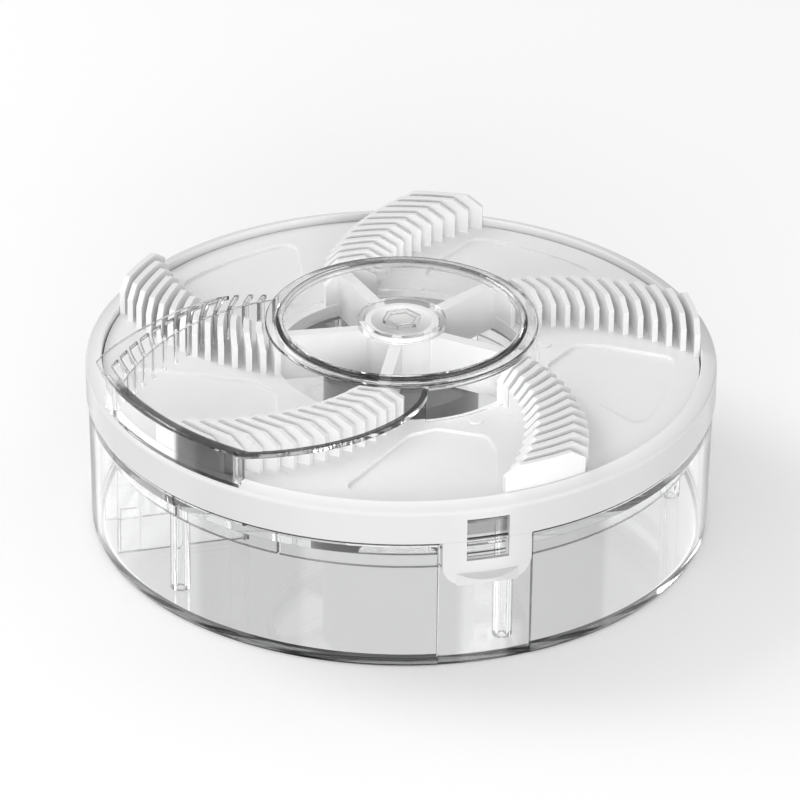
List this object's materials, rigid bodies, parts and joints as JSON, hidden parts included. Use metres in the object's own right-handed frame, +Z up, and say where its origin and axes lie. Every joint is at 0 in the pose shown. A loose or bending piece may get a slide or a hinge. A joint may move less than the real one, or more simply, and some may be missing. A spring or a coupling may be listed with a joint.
{
  "type": "electric fly trap",
  "caption": "Round electric fly trap: clear box, white ring with a latch, turntable with curved comb fences, clear comb hood and cap, geared motor below.",
  "frame": {"origin": "on the supporting surface, under the axis of the turntable", "axes": "+Z up along the turntable's axis, -Y towards the latch, +Y towards the power inlet"},
  "size_m": [0.18, 0.1825, 0.0626],
  "materials": {
    "clear_box": "clear polished polystyrene",
    "clear_cover": "clear polished polystyrene with dark edges",
    "white_shell": "gloss white moulded plastic",
    "white_rotor": "satin white moulded plastic",
    "grey_shell": "dark grey moulded plastic",
    "natural_plastic": "natural acetal",
    "black_plastic": "black moulded plastic",
    "lead_insulation": "grey insulation",
    "brass": "turned brass",
    "steel": "nickel-plated steel"
  },
  "bodies": {
    "box": {"collecting_box": "clear_box"},
    "lid": {"top_ring": "white_shell", "inner_tray": "clear_box", "motor_bridge": "grey_shell", "divider": "clear_box", "tray_screws": "steel", "power_duct": "clear_box", "inlet_cover": "clear_box", "dc_socket_body": "black_plastic", "dc_socket_pin": "brass", "lead_wires": "lead_insulation", "pod_housing": "grey_shell", "pod_screws": "steel", "gear_deck": "natural_plastic", "deck_screws": "steel", "gear_axles": "steel", "motor_can": "steel", "motor_end_cap": "black_plastic", "motor_terminals": "brass", "motor_screws": "steel", "shaft_bush": "brass"},
    "latch": {"latch_tab": "white_shell"},
    "turntable": {"rotor_plate": "white_rotor", "drive_shaft": "natural_plastic", "output_gear": "natural_plastic"},
    "second_gear": {"second_gear": "natural_plastic"},
    "first_gear": {"first_gear": "natural_plastic"},
    "motor_rotor": {"motor_shaft": "steel", "motor_pinion": "brass"},
    "cover": {"cover_hood": "clear_cover", "centre_cap": "clear_cover"}
  },
  "joints": [
    {"name": "lid_lift", "type": "slide", "parent": "box", "child": "lid", "axis": [0, 0, 1], "range_m": [0, 0.06]},
    {"name": "latch_flex", "type": "hinge", "parent": "lid", "child": "latch", "pos_m": [0, -0.09, 0.04017], "axis": [-1, 0, 0], "range_deg": [0, 9], "stiffness_Nm_per_rad": 0.05},
    {"name": "turntable_spin", "type": "hinge", "parent": "lid", "child": "turntable", "pos_m": [0, 0, 0.047], "axis": [0, 0, 1], "continuous": true},
    {"name": "second_gear_spin", "type": "hinge", "parent": "lid", "child": "second_gear", "pos_m": [0.01128, 0, 0.036], "axis": [0, 0, 1], "continuous": true},
    {"name": "first_gear_spin", "type": "hinge", "parent": "lid", "child": "first_gear", "pos_m": [0, 0, 0.033], "axis": [0, 0, 1], "continuous": true},
    {"name": "motor_spin", "type": "hinge", "parent": "lid", "child": "motor_rotor", "pos_m": [-0.00564, -0.00977, 0.03], "axis": [0, 0, 1], "continuous": true},
    {"name": "cover_lift", "type": "slide", "parent": "lid", "child": "cover", "axis": [0, 0, 1], "range_m": [0, 0.03]}
  ],
  "couplings": [
    {"joint": "second_gear_spin", "follows": "turntable_spin", "ratio": -3},
    {"joint": "first_gear_spin", "follows": "turntable_spin", "ratio": 9},
    {"joint": "motor_spin", "follows": "turntable_spin", "ratio": -27}
  ]
}
